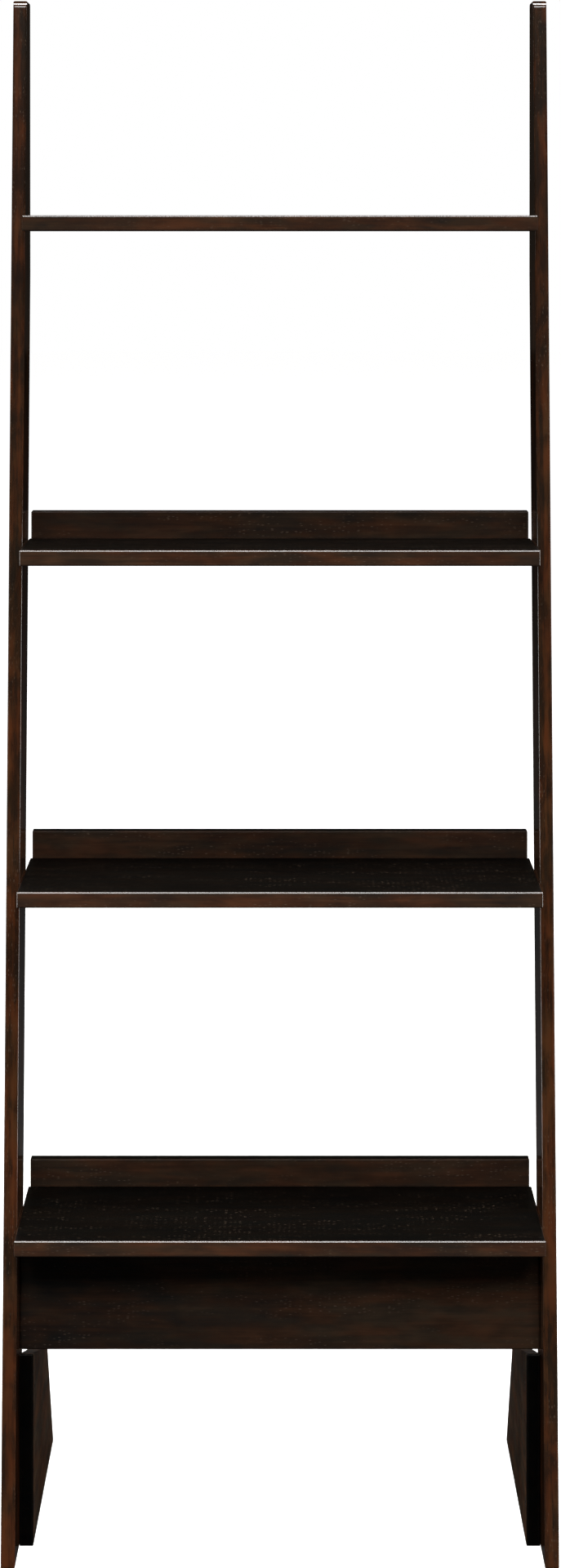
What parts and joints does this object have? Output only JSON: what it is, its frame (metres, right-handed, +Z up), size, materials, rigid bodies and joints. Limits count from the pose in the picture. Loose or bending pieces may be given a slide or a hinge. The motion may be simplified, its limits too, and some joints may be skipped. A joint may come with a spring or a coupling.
{
  "type": "ladder shelf",
  "caption": "Free-standing ladder shelf: four wooden shelves, deeper towards the floor, between two leaning side rails with a front apron and rear feet.",
  "frame": {"origin": "centre of the footprint on the floor, midway between the front edge of shelf 4 and the heels of the rear feet", "axes": "+Z up, +X to the right as seen from the front, the open front faces -Y"},
  "size_m": [0.622, 0.4112, 1.758],
  "materials": {
    "rail_wood": "espresso stain under semi-gloss lacquer, grain along the rail",
    "shelf_wood": "espresso stain under semi-gloss lacquer, grain along the width",
    "zinc_steel": "bright zinc plating",
    "black_steel": "black oxide",
    "brass": "turned brass",
    "dowel_wood": "bare beech"
  },
  "bodies": {
    "root": {"left_rail": "rail_wood", "right_rail": "rail_wood", "shelf_1": "shelf_wood", "shelf_2": "shelf_wood", "shelf_3": "shelf_wood", "shelf_4": "shelf_wood", "lip_2": "shelf_wood", "lip_3": "shelf_wood", "lip_4": "shelf_wood", "apron": "shelf_wood", "left_foot": "rail_wood", "right_foot": "rail_wood", "shelf_cams": "zinc_steel", "apron_cams": "zinc_steel", "cam_bolts": "zinc_steel", "wood_dowels": "dowel_wood", "foot_dowels": "dowel_wood", "lip_screws": "zinc_steel", "foot_bolts": "black_steel", "foot_inserts": "brass"}
  },
  "joints": []
}
